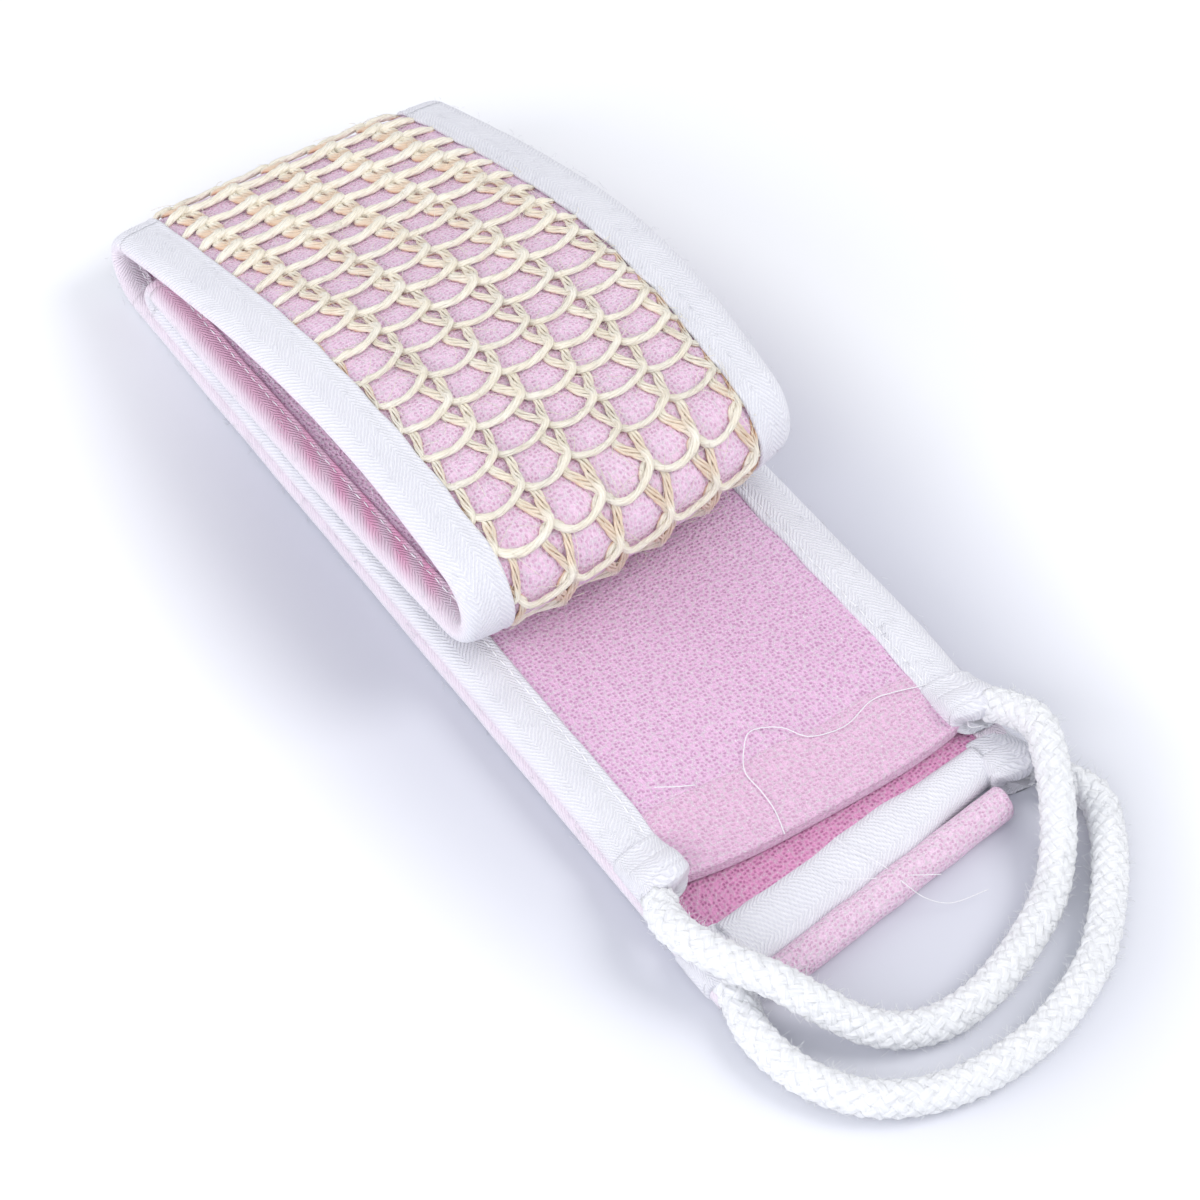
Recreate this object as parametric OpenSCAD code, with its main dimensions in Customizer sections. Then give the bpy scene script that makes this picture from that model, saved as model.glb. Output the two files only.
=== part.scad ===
// Folded back-scrubbing strap: knit fabric strap with a netting face, bound edges and a rope handle at each end.
// Millimetres. +X runs along the strap towards the rope handles, +Y across it, +Z up.
// The origin is at the middle of the folded strap's underside, ropes left out.
// The strap is one long band. Followed from its lower end it makes: lower run, rear bend, top run,
// front bend, inner run, inner bend, upper run. Its netting side is the outside of the rear bend.

/* [Strap] */
// Width of the strap over its bindings
strap_w = 90; // [70:1:110]
// Thickness of the bound edges
edge_t = 5; // [4:0.1:6]
// Thickness of the padding between the two fabrics
padding_t = 2; // [1.5:0.1:2.4]
// Thickness of each knit fabric
fabric_t = 0.8; // [0.5:0.1:1]
// Width of binding tape that shows on the netting side
binding_w = 11; // [8:0.5:14]
// Width of binding tape that shows on the other side
binding_back_w = 7; // [5:0.5:8]
// Depth of folded tape outside the fabric's edge
binding_lip = 1.5; // [1:0.1:3]
// Thickness of the netting lying on the fabric
net_t = 1.4; // [1:0.1:1.6]

/* [Fold] */
// Length of the folded strap, ropes left out
folded_l = 253; // [230:1:280]
// Gap left between two layers that lie on each other
layer_gap = 0.3; // [0.2:0.05:0.5]
// Distance from the lower end's tip back to the upper end's edge
upper_end_inset = 26.5; // [22:0.5:34]
// Radius of the rear bend at the middle of the strap's thickness
rear_bend_r = 8.15; // [8:0.05:9]
// Distance from the rear nose to the start of the inner run
inner_bend_x = 22; // [19:0.5:26]
// Distance from the rear nose to the start of the front bend
front_bend_x = 146; // [130:1:160]
// Height of the top run where the front bend starts
front_bend_z = 37.2; // [34:0.1:42]
// Radius of the front bend at the middle of the strap's thickness
front_bend_r = 9; // [8:0.1:11]
// Slope of the top run where the front bend starts, in degrees
front_bend_slope = 12.8; // [8:0.1:18]
// Rise of the inner run where the front bend ends, in degrees
inner_run_slope = 6.8; // [4:0.1:10]
// Slope of the top run where the rear bend ends, in degrees
top_rear_slope = 19; // [12:0.5:24]

/* [Ends] */
// Slant of the lower end, as length lost per length across
end_slant = 0.145; // [0:0.005:0.2]
// Width of the tape sewn across each end
end_tape_w = 11; // [8:0.5:13]
// Diameter of the rolled hem at the lower end
hem_roll_d = 7.5; // [6:0.1:8]
// Length of the hem flap turned over the upper end
hem_flap_l = 20; // [14:0.5:26]
// Length of the sewn tab that holds a rope's end
tab_l = 8; // [7:0.5:10]
// Width of the sewn tab
tab_w = 11; // [9:0.5:12]
// Height of the sewn tab
tab_h = 7.4; // [6:0.1:7.6]

/* [Handles] */
// Diameter of the braided rope
rope_d = 8; // [7:0.1:8]
// Sides of the rope's tube
rope_sides = 10; // [8:1:12]

/* [Hidden] */

pink = [0.91, 0.66, 0.78];
pale_pink = [0.95, 0.76, 0.85];
white = [0.95, 0.95, 0.97];
straw = [0.92, 0.87, 0.72];

half_w = strap_w / 2;
half_edge = edge_t / 2;
half_pad = padding_t / 2;
half_panel = half_pad + fabric_t;
fabric_half_w = half_w - binding_lip;
inside_half_w = half_w - binding_w;
net_half_w = inside_half_w - 0.5;

// Levels of the strap's mid-thickness in each run
lower_z = half_edge;
upper_z = lower_z + edge_t + layer_gap;
inner_z = upper_z + edge_t + layer_gap;
rear_bend_z = lower_z + rear_bend_r;
inner_bend_z = (upper_z + inner_z) / 2;
inner_bend_r = (inner_z - upper_z) / 2;

// Places along X
rear_nose_x = -folded_l / 2;
tip_x = folded_l / 2;
hinge_x = rear_nose_x + rear_bend_r + half_panel + net_t;
inner_start_x = rear_nose_x + inner_bend_x;
top_end_x = rear_nose_x + front_bend_x;
upper_end_x = tip_x - upper_end_inset;
front_bend_centre = [
    top_end_x - front_bend_r * sin(front_bend_slope),
    front_bend_z - front_bend_r * cos(front_bend_slope)
];
inner_front = front_bend_centre + front_bend_r * [sin(inner_run_slope), -cos(inner_run_slope)];

function flip(list) = [for (i = [len(list) - 1 : -1 : 0]) list[i]];
function tail(list) = [for (i = [1 : len(list) - 1]) list[i]];
function arc(centre, r, from, to, steps) =
    [for (i = [0 : steps]) let (a = from + (to - from) * i / steps) centre + r * [cos(a), sin(a)]];
function bezier(p, steps) =
    [for (i = [0 : steps]) let (t = i / steps, u = 1 - t)
        u * u * u * p[0] + 3 * u * u * t * p[1] + 3 * u * t * t * p[2] + t * t * t * p[3]];

// Gap left along the path where a bend meets the run that folds away from it
fold_gap = 0.3;
rear_bend_turn = 180 - top_rear_slope - fold_gap / rear_bend_r * 180 / PI;

// The strap's mid-thickness, each point [x, z], followed from the lower end to the upper end
rear_steps = 16;
top_steps = 18;
front_steps = 14;
inner_steps = 12;
inner_bend_steps = 12;
rear_end = [hinge_x, rear_bend_z] - rear_bend_r * [sin(top_rear_slope), -cos(top_rear_slope)];
top_reach = (top_end_x - rear_end[0]) / 3;
inner_reach = (inner_front[0] - inner_start_x) / 3;
strap_path = concat(
    [[tip_x, lower_z]],
    arc([hinge_x, rear_bend_z], rear_bend_r, 270, 270 - rear_bend_turn, rear_steps),
    bezier([
        rear_end,
        rear_end + 1.1 * top_reach * [1, tan(top_rear_slope)],
        [top_end_x, front_bend_z] - top_reach * [1, -tan(front_bend_slope)],
        [top_end_x, front_bend_z]
    ], top_steps),
    tail(arc(front_bend_centre, front_bend_r, 90 - front_bend_slope, -90 + inner_run_slope, front_steps)),
    tail(bezier([
        inner_front,
        inner_front - inner_reach * [1, tan(inner_run_slope)],
        [inner_start_x + 1.2 * inner_reach, inner_z],
        [inner_start_x + fold_gap, inner_z]
    ], inner_steps)),
    arc([inner_start_x, inner_bend_z], inner_bend_r, 90, 270, inner_bend_steps),
    [[upper_end_x, upper_z]]
);

// Stretches of the strap, each as its first and last point on the path
lower_run = [0, 1];
rear_bend = [1, 1 + rear_steps];
top_run = [rear_bend[1] + 1, rear_bend[1] + 1 + top_steps];
front_bend = [top_run[1], top_run[1] + front_steps];
inner_run = [front_bend[1], front_bend[1] + inner_steps];
inner_bend = [inner_run[1] + 1, inner_run[1] + 1 + inner_bend_steps];
upper_run = [inner_bend[1], inner_bend[1] + 1];
net_first = rear_bend[0] + 3;

// A point moved off the path; positive moves it to the netting side
function unit(v) = v / norm(v);
function heading(path, i) =
    unit(path[min(i + 1, len(path) - 1)] - path[max(i - 1, 0)]);
function side_step(i, step) =
    let (h = heading(strap_path, i)) strap_path[i] + step * [-h[1], h[0]];
function ribbon(run, low, high) = concat(
    [for (i = [run[0] : run[1]]) side_step(i, high)],
    flip([for (i = [run[0] : run[1]]) side_step(i, low)])
);

module slab(run, low, high, y0, y1)
    translate([0, y1, 0])
        rotate([90, 0, 0])
            linear_extrude(height = y1 - y0)
                polygon(ribbon(run, low, high));

module fabric(run, low, high)
    slab(run, low, high, -fabric_half_w, fabric_half_w);

// Binding tape folded round one edge of the fabrics; side is -1 for the left edge and 1 for the right
module binding(run, side) {
    outer = side * half_w;
    lip = side * fabric_half_w;
    inner = side * inside_half_w;
    back_inner = side * (half_w - binding_back_w);
    color(white)
        union() {
            slab(run, -half_edge, half_edge, min(outer, lip), max(outer, lip));
            slab(run, half_panel, half_edge, min(lip, inner), max(lip, inner));
            slab(run, -half_edge, -half_panel, min(lip, back_inner), max(lip, back_inner));
        }
}

module face_fabric(run) color(pink) fabric(run, half_pad, half_panel);
module padding(run) color(white) fabric(run, -half_pad, half_pad);
module back_fabric(run) color(pink) fabric(run, -half_panel, -half_pad);
module whole_fabric(run) color(pink) fabric(run, -half_panel, half_panel);
module net(run)
    color(straw) slab(run, half_panel, half_panel + net_t, -net_half_w, net_half_w);

// Lower end: its edge is slanted, so each piece there is cut along slanted lines
slant_angle = atan(end_slant);
hem_roll_l = 2 * inside_half_w - 3;
roll_x = tip_x - hem_roll_l / 2 * sin(slant_angle) - hem_roll_d / 2 * cos(slant_angle);
tape_front_x = roll_x - hem_roll_d / 2 - layer_gap;
panel_front_x = tape_front_x - end_tape_w - layer_gap;

// Everything in front of a slanted line that crosses Y = 0 at x
module ahead_of(x)
    translate([x, 0, 0])
        rotate([0, 0, slant_angle])
            translate([0, -strap_w, -strap_w])
                cube([strap_w, 2 * strap_w, 2 * strap_w]);

module lower_part()
    difference() {
        children();
        ahead_of(panel_front_x);
    }

module lower_end_tape()
    color(white)
        intersection() {
            translate([0, 0, layer_gap])
                linear_extrude(height = edge_t - layer_gap)
                    square([2 * folded_l, 2 * inside_half_w], center = true);
            difference() {
                ahead_of(tape_front_x - end_tape_w);
                ahead_of(tape_front_x);
            }
        }

module lower_hem_roll()
    color(pale_pink)
        translate([roll_x, 0, hem_roll_d / 2])
            rotate([0, 0, slant_angle])
                rotate([90, 0, 0])
                    cylinder(h = hem_roll_l, d = hem_roll_d, center = true, $fn = 32);

// Upper end: tape under the edge, hem flap over it
upper_tape_back_x = upper_end_x - end_tape_w - 2;
module upper_back_part()
    intersection() {
        children();
        translate([-folded_l, -strap_w, 0])
            cube([folded_l + upper_tape_back_x - layer_gap, 2 * strap_w, strap_w]);
    }

module upper_end_tape()
    color(white)
        translate([upper_tape_back_x, -inside_half_w, upper_z - half_edge])
            cube([end_tape_w, 2 * inside_half_w, half_edge - half_pad]);

module upper_hem_flap()
    color(pale_pink)
        translate([upper_end_x - hem_flap_l, -inside_half_w, upper_z + half_panel])
            cube([hem_flap_l, 2 * inside_half_w, fabric_t]);

// Sewn tabs at the corners, each [x of its front face, y of its middle, z of its underside]
lower_tab_left = [tip_x - 6, -half_w + tab_w / 2, 0.2];
lower_tab_right = [tip_x - 14, half_w - tab_w / 2, 0.2];
upper_tab_left = [upper_end_x - 1.5, -half_w + tab_w / 2, lower_z + half_edge + layer_gap];
upper_tab_right = [upper_end_x - 4.5, half_w - tab_w / 2, lower_z + half_edge + layer_gap];

module tab(place)
    translate(place - [tab_l, tab_w / 2, 0])
        cube([tab_l, tab_w, tab_h]);

// The corner that a tab takes from the strap; side is -1 for the left corner and 1 for the right
module corner_room(place, side)
    translate([place[0] - tab_l - layer_gap, side * (inside_half_w + strap_w / 2), 0])
        translate([0, -strap_w / 2, -strap_w])
            cube([strap_w, strap_w, 2 * strap_w]);

module lower_rope_tabs()
    color(white) {
        tab(lower_tab_left);
        tab(lower_tab_right);
    }

module upper_rope_tabs()
    color(white) {
        tab(upper_tab_left);
        tab(upper_tab_right);
    }

// Rope routes: hand-chosen points on the ropes' middles
lower_rope_route = [
    [121.6, -40.7, 4.2], [126, -41.6, 4.2], [133, -43.4, 4.2], [141, -43, 4.2], [149, -40.5, 4.2],
    [157, -35, 4.2], [162.5, -27, 4.2], [165.5, -17, 4.2], [166, -6, 4.2], [164.5, 5, 4.2],
    [161, 15, 4.2], [156, 24.5, 4.2], [149, 32.5, 4.2], [141.5, 39.5, 4.2], [134, 45, 4.2],
    [126.5, 48.5, 4.2], [120.5, 47.2, 4.2], [115.2, 43.6, 4.2]
];
upper_rope_route = [
    [100.4, -43, 9.6], [105, -44.8, 10.4], [110, -45.2, 11.8], [116.5, -43.6, 12.5], [123.5, -40.5, 12.8],
    [130.5, -36.3, 12.3], [138, -31.3, 9.4], [145, -25.5, 6], [150, -18, 4.4], [152, -9, 4.2],
    [150.5, 2, 4.2], [146, 14, 4.2], [140, 25, 4.4], [132.5, 33, 6.5], [124, 39, 10.4],
    [115.5, 43.5, 12.7], [108.5, 46.2, 12.5], [102.5, 45.2, 11.2], [97.2, 42.5, 9.8]
];
ring_steps = 2;
end_rings = 4;

// Points on a smooth curve through the route
function route_point(route, i) =
    i < 0 ? 2 * route[0] - route[1]
    : i > len(route) - 1 ? 2 * route[len(route) - 1] - route[len(route) - 2]
    : route[i];
function between(a, b, c, d, t) =
    0.5 * (2 * b + (c - a) * t + (2 * a - 5 * b + 4 * c - d) * t * t + (3 * b - a - 3 * c + d) * t * t * t);
function smooth(route) = concat(
    [for (i = [0 : len(route) - 2], k = [0 : ring_steps - 1])
        between(route_point(route, i - 1), route[i], route[i + 1], route_point(route, i + 2), k / ring_steps)],
    [route[len(route) - 1]]
);
function ring(path, i) =
    let (
        along = heading(path, i),
        side = unit(cross(along, [0, 0, 1])),
        up = cross(side, along)
    )
    [for (k = [0 : rope_sides - 1])
        path[i] + rope_d / 2 * (cos(360 * k / rope_sides) * side + sin(360 * k / rope_sides) * up)];

// Tube along the rings numbered from first to last of a path
module tube(path, first, last) {
    rings = [for (i = [first : last]) ring(path, i)];
    n = rope_sides;
    count = len(rings);
    points = [for (r = rings, p = r) p];
    walls = [for (i = [0 : count - 2], k = [0 : n - 1])
        [i * n + k, i * n + (k + 1) % n, (i + 1) * n + (k + 1) % n, (i + 1) * n + k]];
    caps = [[for (k = [n - 1 : -1 : 0]) k], [for (k = [0 : n - 1]) (count - 1) * n + k]];
    polyhedron(points = points, faces = concat(walls, caps));
}

module rope_loop(route) {
    path = smooth(route);
    color(white) tube(path, end_rings, len(path) - 1 - end_rings);
}

module rope_ends(route) {
    path = smooth(route);
    color(white) {
        tube(path, 0, end_rings);
        tube(path, len(path) - 1 - end_rings, len(path) - 1);
    }
}

module lower_binding(side, place)
    difference() {
        binding(lower_run, side);
        corner_room(place, side);
    }

module upper_binding(side, place)
    difference() {
        binding(upper_run, side);
        corner_room(place, side);
    }

module upper_front_part()
    difference() {
        children();
        corner_room(upper_tab_left, -1);
        corner_room(upper_tab_right, 1);
    }

lower_part() face_fabric(lower_run);  // lower_face_fabric
lower_part() padding(lower_run);  // lower_padding
lower_part() back_fabric(lower_run);  // lower_back_fabric
lower_binding(-1, lower_tab_left);  // lower_left_binding
lower_binding(1, lower_tab_right);  // lower_right_binding
upper_front_part() face_fabric(upper_run);  // upper_face_fabric
upper_front_part() padding(upper_run);  // upper_padding
upper_back_part() back_fabric(upper_run);  // upper_back_fabric
upper_binding(-1, upper_tab_left);  // upper_left_binding
upper_binding(1, upper_tab_right);  // upper_right_binding
face_fabric(top_run);  // top_face_fabric
padding(top_run);  // top_padding
back_fabric(top_run);  // top_back_fabric
binding(top_run, -1);  // top_left_binding
binding(top_run, 1);  // top_right_binding
net(top_run);  // top_net
face_fabric(front_bend);  // front_bend_fabric
padding(front_bend);  // front_bend_padding
back_fabric(front_bend);  // front_bend_lining
binding(front_bend, -1);  // front_bend_left_binding
binding(front_bend, 1);  // front_bend_right_binding
net(front_bend);  // front_bend_net
face_fabric(inner_run);  // inner_face_fabric
padding(inner_run);  // inner_padding
back_fabric(inner_run);  // inner_back_fabric
binding(inner_run, -1);  // inner_left_binding
binding(inner_run, 1);  // inner_right_binding
net(inner_run);  // inner_net
whole_fabric(rear_bend);  // rear_bend_fabric
binding(rear_bend, -1);  // rear_bend_left_binding
binding(rear_bend, 1);  // rear_bend_right_binding
net([net_first, rear_bend[1]]);  // rear_bend_net
whole_fabric(inner_bend);  // inner_bend_fabric
binding(inner_bend, -1);  // inner_bend_left_binding
binding(inner_bend, 1);  // inner_bend_right_binding
lower_end_tape();
lower_hem_roll();
upper_end_tape();
upper_hem_flap();
lower_rope_tabs();
upper_rope_tabs();
rope_ends(lower_rope_route);  // lower_rope_ends
rope_loop(lower_rope_route);  // lower_rope_loop
rope_ends(upper_rope_route);  // upper_rope_ends
rope_loop(upper_rope_route);  // upper_rope_loop
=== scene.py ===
import math
import random

import bmesh
import bpy
import numpy as np
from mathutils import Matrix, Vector


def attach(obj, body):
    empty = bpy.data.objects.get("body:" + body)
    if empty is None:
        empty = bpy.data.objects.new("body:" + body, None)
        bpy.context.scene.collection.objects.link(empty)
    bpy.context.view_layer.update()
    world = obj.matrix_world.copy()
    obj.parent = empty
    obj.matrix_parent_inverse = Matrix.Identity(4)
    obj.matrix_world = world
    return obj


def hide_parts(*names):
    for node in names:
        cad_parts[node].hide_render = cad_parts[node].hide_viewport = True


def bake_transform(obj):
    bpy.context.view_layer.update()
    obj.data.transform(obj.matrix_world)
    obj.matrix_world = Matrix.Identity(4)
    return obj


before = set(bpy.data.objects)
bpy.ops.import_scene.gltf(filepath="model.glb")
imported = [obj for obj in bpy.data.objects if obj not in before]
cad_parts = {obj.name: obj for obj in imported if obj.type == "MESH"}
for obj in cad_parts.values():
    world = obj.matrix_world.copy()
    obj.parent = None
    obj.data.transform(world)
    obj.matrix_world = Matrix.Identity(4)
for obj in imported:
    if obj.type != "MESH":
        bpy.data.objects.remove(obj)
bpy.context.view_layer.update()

MM = 0.001
rng = random.Random(7)


# ---------------------------------------------------------------- camera, floor and light

LOOK = Vector((-0.5462, 0.3673, -0.7529))
TARGET = Vector((0.02106, -0.00389, 0))
DISTANCE = 0.7241
LENS = 99.5


def make_camera():
    data = bpy.data.cameras.new("camera")
    data.lens = LENS
    data.sensor_width = 36
    data.clip_start = 0.01
    data.dof.use_dof = False
    camera = bpy.data.objects.new("camera", data)
    bpy.context.scene.collection.objects.link(camera)
    camera.location = TARGET - DISTANCE * LOOK
    camera.rotation_euler = LOOK.to_track_quat("-Z", "Y").to_euler()
    bpy.context.scene.camera = camera


def area_light(name, place, size, energy, colour):
    data = bpy.data.lights.new(name, "AREA")
    data.shape = "DISK"
    data.size = size
    data.energy = energy
    data.color = colour
    light = bpy.data.objects.new(name, data)
    bpy.context.scene.collection.objects.link(light)
    light.location = place
    light.rotation_euler = (TARGET - Vector(place)).to_track_quat("-Z", "Y").to_euler()


def make_studio():
    scene = bpy.context.scene
    scene.view_settings.view_transform = "Standard"
    world = bpy.data.worlds.new("studio")
    world.use_nodes = True
    background = world.node_tree.nodes["Background"]
    background.inputs["Color"].default_value = (0.93, 0.95, 1, 1)
    background.inputs["Strength"].default_value = 0.72
    scene.world = world
    area_light("key", (0.62, 0.85, 1.15), 0.8, 9.5, (1, 0.985, 0.96))
    area_light("fill", (0.7, -0.9, 0.9), 1.2, 6, (0.96, 0.98, 1))
    area_light("side", (-0.1, -0.9, 0.35), 0.6, 3.5, (1, 0.97, 0.98))


# ---------------------------------------------------------------- material helpers

def add(tree, kind, inputs=(), **settings):
    made = tree.nodes.new(kind)
    for key, value in settings.items():
        setattr(made, key, value)
    for key, value in dict(inputs).items():
        if isinstance(value, bpy.types.NodeSocket):
            tree.links.new(value, made.inputs[key])
        else:
            made.inputs[key].default_value = value
    return made


def calc(tree, operation, *values):
    made = add(tree, "ShaderNodeMath", enumerate(values), operation=operation)
    return made.outputs[0]


def ramp(tree, value, low, high, start=0.0, stop=1.0):
    """value taken from low..high to start..stop with soft ends."""
    made = add(tree, "ShaderNodeMapRange",
               {"Value": value, "From Min": low, "From Max": high, "To Min": start, "To Max": stop},
               interpolation_type="SMOOTHSTEP")
    return made.outputs["Result"]


def mix(tree, share, first, second):
    made = add(tree, "ShaderNodeMix", data_type="RGBA")
    for key, value in ((0, share), (6, first), (7, second)):
        if isinstance(value, bpy.types.NodeSocket):
            tree.links.new(value, made.inputs[key])
        else:
            made.inputs[key].default_value = value
    return made.outputs[2]


def noise(tree, place, scale, detail=2.0, rough=0.5):
    made = add(tree, "ShaderNodeTexNoise",
               {"Vector": place, "Scale": scale, "Detail": detail, "Roughness": rough})
    return made.outputs["Fac"]


def stretched(tree, place, scale):
    return add(tree, "ShaderNodeMapping", {"Vector": place, "Scale": scale}).outputs["Vector"]


def new_material(name):
    material = bpy.data.materials.new(name)
    material.use_nodes = True
    tree = material.node_tree
    return material, tree, tree.nodes["Principled BSDF"]


def surface_uv(tree):
    """The two lengths on the cloth, in metres: along the strap and across it."""
    place = add(tree, "ShaderNodeUVMap", uv_map="cloth").outputs["UV"]
    parts = add(tree, "ShaderNodeSeparateXYZ", {0: place})
    return place, parts.outputs[0], parts.outputs[1]


def finish_shader(tree, shader, colour, rough, height, depth, strength=1.0):
    tree.links.new(colour, shader.inputs["Base Color"])
    tree.links.new(rough, shader.inputs["Roughness"])
    bump = add(tree, "ShaderNodeBump", {"Height": height, "Distance": depth, "Strength": strength})
    tree.links.new(bump.outputs[0], shader.inputs["Normal"])


# ---------------------------------------------------------------- materials

PINHOLE_PITCH = 1.05 * MM
TWILL_RIB = 0.95 * MM
TWILL_BAND = 4.4 * MM


def knit_material(name, lit, shade_and_patches, holes, fuzz):
    """Pinhole knit: uneven pinholes inside meshes of pale thread; holes and fuzz say how strong each is."""
    material, tree, shader = new_material(name)
    place, _, _ = surface_uv(tree)
    meshes = add(tree, "ShaderNodeTexVoronoi",
                 {"Vector": place, "Scale": 1 / PINHOLE_PITCH, "Randomness": 0.6},
                 voronoi_dimensions="2D").outputs["Distance"]
    uneven = ramp(tree, noise(tree, place, 700, 1), 0.28, 0.6)
    pins = calc(tree, "MULTIPLY", ramp(tree, meshes, 0.4, 0.1), uneven)
    yarn = noise(tree, stretched(tree, place, (1, 1.8, 1)), 1700, 3, 0.65)
    fine = noise(tree, stretched(tree, place, (2, 1, 1)), 2600, 2, 0.6)
    patches = noise(tree, place, 26, 2)
    # Painted shade: pinholes and the valleys between yarns take the shaded pink; random patches shift the
    # tone both ways.
    dark = calc(tree, "ADD", calc(tree, "MULTIPLY", pins, holes),
                calc(tree, "MULTIPLY", ramp(tree, yarn, 0.66, 0.34), 0.34))
    dark = calc(tree, "ADD", dark, calc(tree, "MULTIPLY", calc(tree, "SUBTRACT", patches, 0.5), 0.3))
    colour = mix(tree, calc(tree, "MINIMUM", dark, 1.0), lit, shade_and_patches)
    threads = calc(tree, "MULTIPLY", ramp(tree, meshes, 0.36, 0.62), ramp(tree, fine, 0.42, 0.62))
    colour = mix(tree, calc(tree, "MULTIPLY", threads, fuzz), colour, (0.96, 0.87, 0.94, 1))
    height = calc(tree, "SUBTRACT", calc(tree, "MULTIPLY", yarn, 0.8), pins)
    height = calc(tree, "ADD", height, calc(tree, "MULTIPLY", threads, 0.6))
    finish_shader(tree, shader, colour, ramp(tree, yarn, 0.2, 0.8, 0.95, 0.7), height, 0.35 * MM, 0.8)
    shader.inputs["Sheen Weight"].default_value = 0.35
    shader.inputs["Sheen Roughness"].default_value = 0.45
    shader.inputs["Sheen Tint"].default_value = (1, 0.86, 0.95, 1)
    return material


def shade_value(tree):
    """Painted light kept on the mesh: painted shade in the crevices of the netting, and painted pink
    reflection on tape from the cloth beside it.
    """
    return add(tree, "ShaderNodeAttribute", attribute_name="shade").outputs["Fac"]


def twill_material():
    """Herringbone tape: slanted ribs that turn back on every band across the tape."""
    material, tree, shader = new_material("white_twill")
    place, along, across = surface_uv(tree)
    bands = calc(tree, "PINGPONG", across, TWILL_BAND)
    wander = calc(tree, "MULTIPLY", noise(tree, place, 420, 3), 1.3 * MM)
    slant = calc(tree, "ADD", calc(tree, "MULTIPLY", along, 0.8), calc(tree, "ADD", bands, wander))
    ribs = calc(tree, "SINE", calc(tree, "MULTIPLY", slant, 2 * math.pi / TWILL_RIB))
    ribs = ramp(tree, ribs, -0.9, 0.8)
    steps = calc(tree, "SINE", calc(tree, "MULTIPLY", along, 2 * math.pi / (0.55 * MM)))
    steps = ramp(tree, steps, -0.9, 0.9)
    fibre = noise(tree, stretched(tree, place, (1, 1.8, 1)), 1500, 4, 0.7)
    patches = noise(tree, place, 45, 2)
    # Painted shade: the grooves between ribs are darker; fibre and patches vary the tone.
    dark = calc(tree, "SUBTRACT", 1.0, ribs)
    dark = calc(tree, "ADD", calc(tree, "MULTIPLY", dark, 0.32), calc(tree, "MULTIPLY", fibre, 0.55))
    dark = calc(tree, "ADD", dark, calc(tree, "MULTIPLY", calc(tree, "SUBTRACT", patches, 0.5), 0.35))
    colour = mix(tree, dark, (0.88, 0.88, 0.915, 1), (0.63, 0.63, 0.71, 1))
    # Painted pink reflection: the shade attribute tints the tape where the pink cloth beside it would light
    # it.
    colour = mix(tree, shade_value(tree), colour, (0.9, 0.4, 0.62, 1))
    height = calc(tree, "ADD", calc(tree, "MULTIPLY", ribs, 0.7), calc(tree, "MULTIPLY", steps, 0.35))
    height = calc(tree, "ADD", height, fibre)
    finish_shader(tree, shader, colour, ramp(tree, fibre, 0.2, 0.8, 0.62, 0.85), height, 0.2 * MM, 0.8)
    shader.inputs["Sheen Weight"].default_value = 0.25
    shader.inputs["Sheen Roughness"].default_value = 0.4
    return material


def sisal_material():
    material, tree, shader = new_material("sisal")
    place, _, _ = surface_uv(tree)
    streaks = noise(tree, stretched(tree, place, (0.22, 3.5, 1)), 1600, 3, 0.6)
    patches = noise(tree, place, 90, 2)
    depth = shade_value(tree)
    straw = mix(tree, ramp(tree, streaks, 0.3, 0.7), (0.85, 0.76, 0.59, 1), (0.95, 0.92, 0.82, 1))
    straw = mix(tree, calc(tree, "MULTIPLY", ramp(tree, patches, 0.35, 0.7), 0.35), straw,
                (0.98, 0.97, 0.92, 1))
    # Painted shade: crevices and low parts of the netting turn brown by the shade attribute.
    colour = mix(tree, ramp(tree, depth, 0.15, 0.9, 0, 0.85), straw, (0.74, 0.42, 0.22, 1))
    finish_shader(tree, shader, colour, ramp(tree, streaks, 0.2, 0.8, 0.34, 0.6), streaks, 0.25 * MM)
    shader.inputs["Sheen Weight"].default_value = 0.15
    shader.inputs["Specular IOR Level"].default_value = 0.6
    return material


def rope_material():
    material, tree, shader = new_material("white_rope")
    place, along, across = surface_uv(tree)
    yarns = calc(tree, "SINE", calc(tree, "ADD", calc(tree, "MULTIPLY", across, 2 * math.pi / (1.3 * MM)),
                                    calc(tree, "MULTIPLY", along, 2 * math.pi / (3.2 * MM))))
    yarns = ramp(tree, yarns, -0.9, 0.9)
    fibre = noise(tree, stretched(tree, place, (0.5, 2.2, 1)), 1900, 3, 0.65)
    patches = noise(tree, place, 60, 2)
    # Painted shade: the grooves between the braid's yarns are darker; fibre and patches vary the tone.
    dark = calc(tree, "ADD", calc(tree, "MULTIPLY", fibre, 0.4),
                calc(tree, "MULTIPLY", calc(tree, "SUBTRACT", 1.0, yarns), 0.2))
    dark = calc(tree, "ADD", dark, calc(tree, "MULTIPLY", calc(tree, "SUBTRACT", patches, 0.5), 0.3))
    colour = mix(tree, dark, (0.89, 0.9, 0.92, 1), (0.74, 0.75, 0.79, 1))
    height = calc(tree, "ADD", calc(tree, "MULTIPLY", yarns, 0.7), fibre)
    finish_shader(tree, shader, colour, ramp(tree, fibre, 0.2, 0.8, 0.6, 0.85), height, 0.3 * MM, 0.65)
    shader.inputs["Sheen Weight"].default_value = 0.6
    return material


def thread_material():
    material, tree, shader = new_material("white_thread")
    _, along, across = surface_uv(tree)
    slant = calc(tree, "ADD", along, across)
    twist = calc(tree, "SINE", calc(tree, "MULTIPLY", slant, 2 * math.pi / (0.5 * MM)))
    twist = ramp(tree, twist, -1, 1)
    # Painted shade: the grooves of the twist are darker.
    colour = mix(tree, twist, (0.84, 0.84, 0.88, 1), (0.96, 0.96, 0.97, 1))
    finish_shader(tree, shader, colour, ramp(tree, twist, 0, 1, 0.6, 0.45), twist, 0.05 * MM)
    return material


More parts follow.
